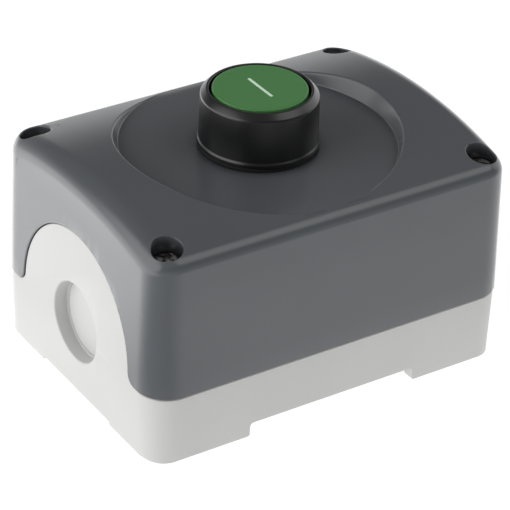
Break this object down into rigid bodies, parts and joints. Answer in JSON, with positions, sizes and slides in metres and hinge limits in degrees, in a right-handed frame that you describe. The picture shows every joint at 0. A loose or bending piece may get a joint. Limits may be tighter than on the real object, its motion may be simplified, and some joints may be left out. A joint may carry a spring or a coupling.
{
  "type": "push button control station",
  "caption": "Surface-mounted control station: arched dark cover on a pale base, with one flush green start button in a tall black ring.",
  "frame": {"origin": "centre of the mounting face on the wall side of the base", "axes": "+X along the case, +Y across it, +Z out of the wall along the button's axis"},
  "size_m": [0.101, 0.074, 0.0703],
  "materials": {
    "cover_plastic": "fine moulded satin",
    "base_plastic": "fine moulded satin",
    "black_rubber": "matt",
    "black_plastic": "satin",
    "bezel_plastic": "satin",
    "button_green": "fine satin",
    "symbol_white": "satin",
    "block_plastic": "satin",
    "plunger_plastic": "satin",
    "ring_plastic": "waxy",
    "steel": "zinc plated",
    "spring_steel": "bright drawn wire",
    "copper_alloy": "stamped strip",
    "contact_silver": "bright",
    "brass": "machined"
  },
  "bodies": {
    "base": {"enclosure_base": "base_plastic", "threaded_inserts": "brass", "cover_gasket": "black_rubber", "contact_carrier": "black_plastic", "carrier_screws": "steel", "contact_housing": "block_plastic", "contact_base_plate": "block_plastic", "fixed_contact_left": "copper_alloy", "fixed_contact_right": "copper_alloy", "fixed_contact_tips": "contact_silver", "terminal_screws": "steel", "terminal_clamps": "steel", "plunger_return_spring": "spring_steel"},
    "cover": {"enclosure_cover": "cover_plastic", "cover_screws": "steel", "screw_retaining_rings": "ring_plastic", "panel_gasket": "black_rubber", "actuator_body": "black_plastic", "lock_nut": "black_plastic", "bezel_ring": "bezel_plastic", "stem_seal": "black_rubber", "button_return_spring": "spring_steel"},
    "button": {"button_cap": "button_green", "start_symbol": "symbol_white", "button_plunger": "black_plastic", "stem_clip": "spring_steel"},
    "moving_contact": {"contact_plunger": "plunger_plastic", "contact_spring": "spring_steel"},
    "bridge": {"contact_bridge": "copper_alloy", "bridge_tips": "contact_silver"}
  },
  "joints": [
    {"name": "cover_lift", "type": "slide", "parent": "base", "child": "cover", "axis": [0, 0, 1], "range_m": [0, 0.05]},
    {"name": "button_press", "type": "slide", "parent": "cover", "child": "button", "axis": [0, 0, -1], "range_m": [0, 0.004], "stiffness_N_per_m": 700, "springref_m": -0.003, "deforming": ["button_return_spring"]},
    {"name": "contact_travel", "type": "slide", "parent": "base", "child": "moving_contact", "axis": [0, 0, -1], "range_m": [0, 0.004], "stiffness_N_per_m": 150, "springref_m": -0.002, "deforming": ["plunger_return_spring"]},
    {"name": "bridge_overtravel", "type": "slide", "parent": "moving_contact", "child": "bridge", "axis": [0, 0, 1], "range_m": [0, 0.0016], "stiffness_N_per_m": 200, "springref_m": -0.001, "deforming": ["contact_spring"]}
  ],
  "couplings": [
    {"joint": "contact_travel", "follows": "button_press", "ratio": 1},
    {"joint": "bridge_overtravel", "follows": "button_press", "ratio": 0.4}
  ]
}
